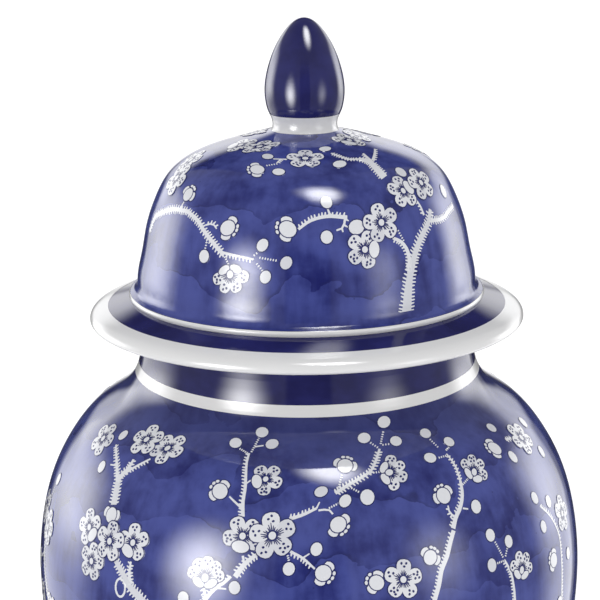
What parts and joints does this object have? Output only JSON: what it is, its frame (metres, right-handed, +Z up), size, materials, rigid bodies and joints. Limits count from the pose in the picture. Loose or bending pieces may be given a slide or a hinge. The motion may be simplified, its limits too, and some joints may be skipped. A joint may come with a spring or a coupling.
{
  "type": "ginger jar",
  "caption": "Lidded porcelain ginger jar: rounded hollow vessel on a foot ring, with a hat-shaped lift-off lid and a bud finial, cobalt glaze with white blossom sprays.",
  "frame": {"origin": "centre of the foot ring, on the surface that the jar stands on", "axes": "+Z up along the axis that every piece is turned about, and the side that faces -Y is the jar's front"},
  "size_m": [0.2878, 0.2878, 0.457],
  "materials": {
    "cobalt_glaze": "glossy clear glaze over brushed cobalt blue",
    "white_glaze": "glossy clear glaze over white porcelain",
    "biscuit": "unglazed fired porcelain, matt"
  },
  "bodies": {
    "jar": {"jar_body": "cobalt_glaze"},
    "lid": {"lid": "cobalt_glaze", "lid_locating_ring": "biscuit", "finial": "white_glaze"}
  },
  "joints": [
    {"name": "lid_lift", "type": "slide", "parent": "jar", "child": "lid", "axis": [0, 0, 1], "range_m": [0, 0.16]}
  ]
}
